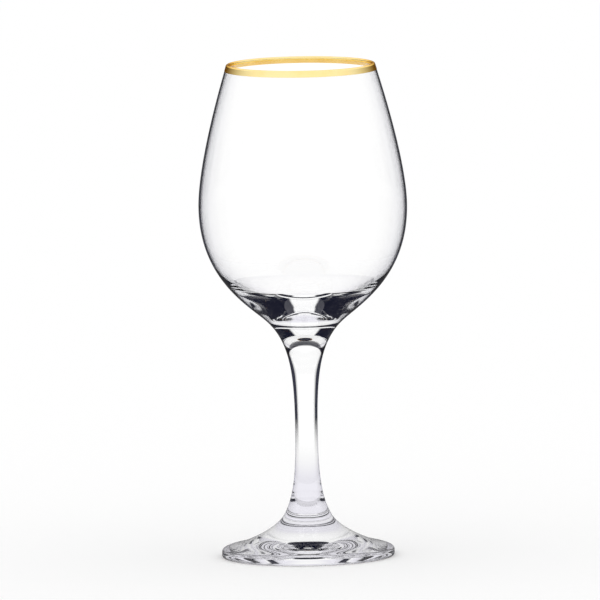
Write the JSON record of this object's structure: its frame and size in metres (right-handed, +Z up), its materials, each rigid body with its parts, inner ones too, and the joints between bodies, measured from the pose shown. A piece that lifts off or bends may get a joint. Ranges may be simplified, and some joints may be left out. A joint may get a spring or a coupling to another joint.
{
  "type": "stemmed glass",
  "caption": "Clear stemmed wine glass: a tulip bowl on a waisted stem and a round foot, with a narrow band of gold round the lip.",
  "frame": {"origin": "middle of the foot, level with the ring that the glass stands on", "axes": "+Z up along the glass's axis of revolution; +X and +Y may point anywhere, because the glass is round"},
  "size_m": [0.0834, 0.0834, 0.198],
  "materials": {
    "clear_glass": "polished clear soda-lime glass",
    "gilding": "polished bright gold"
  },
  "bodies": {
    "root": {"bowl": "clear_glass", "stem": "clear_glass", "foot": "clear_glass", "gold_rim": "gilding"}
  },
  "joints": []
}
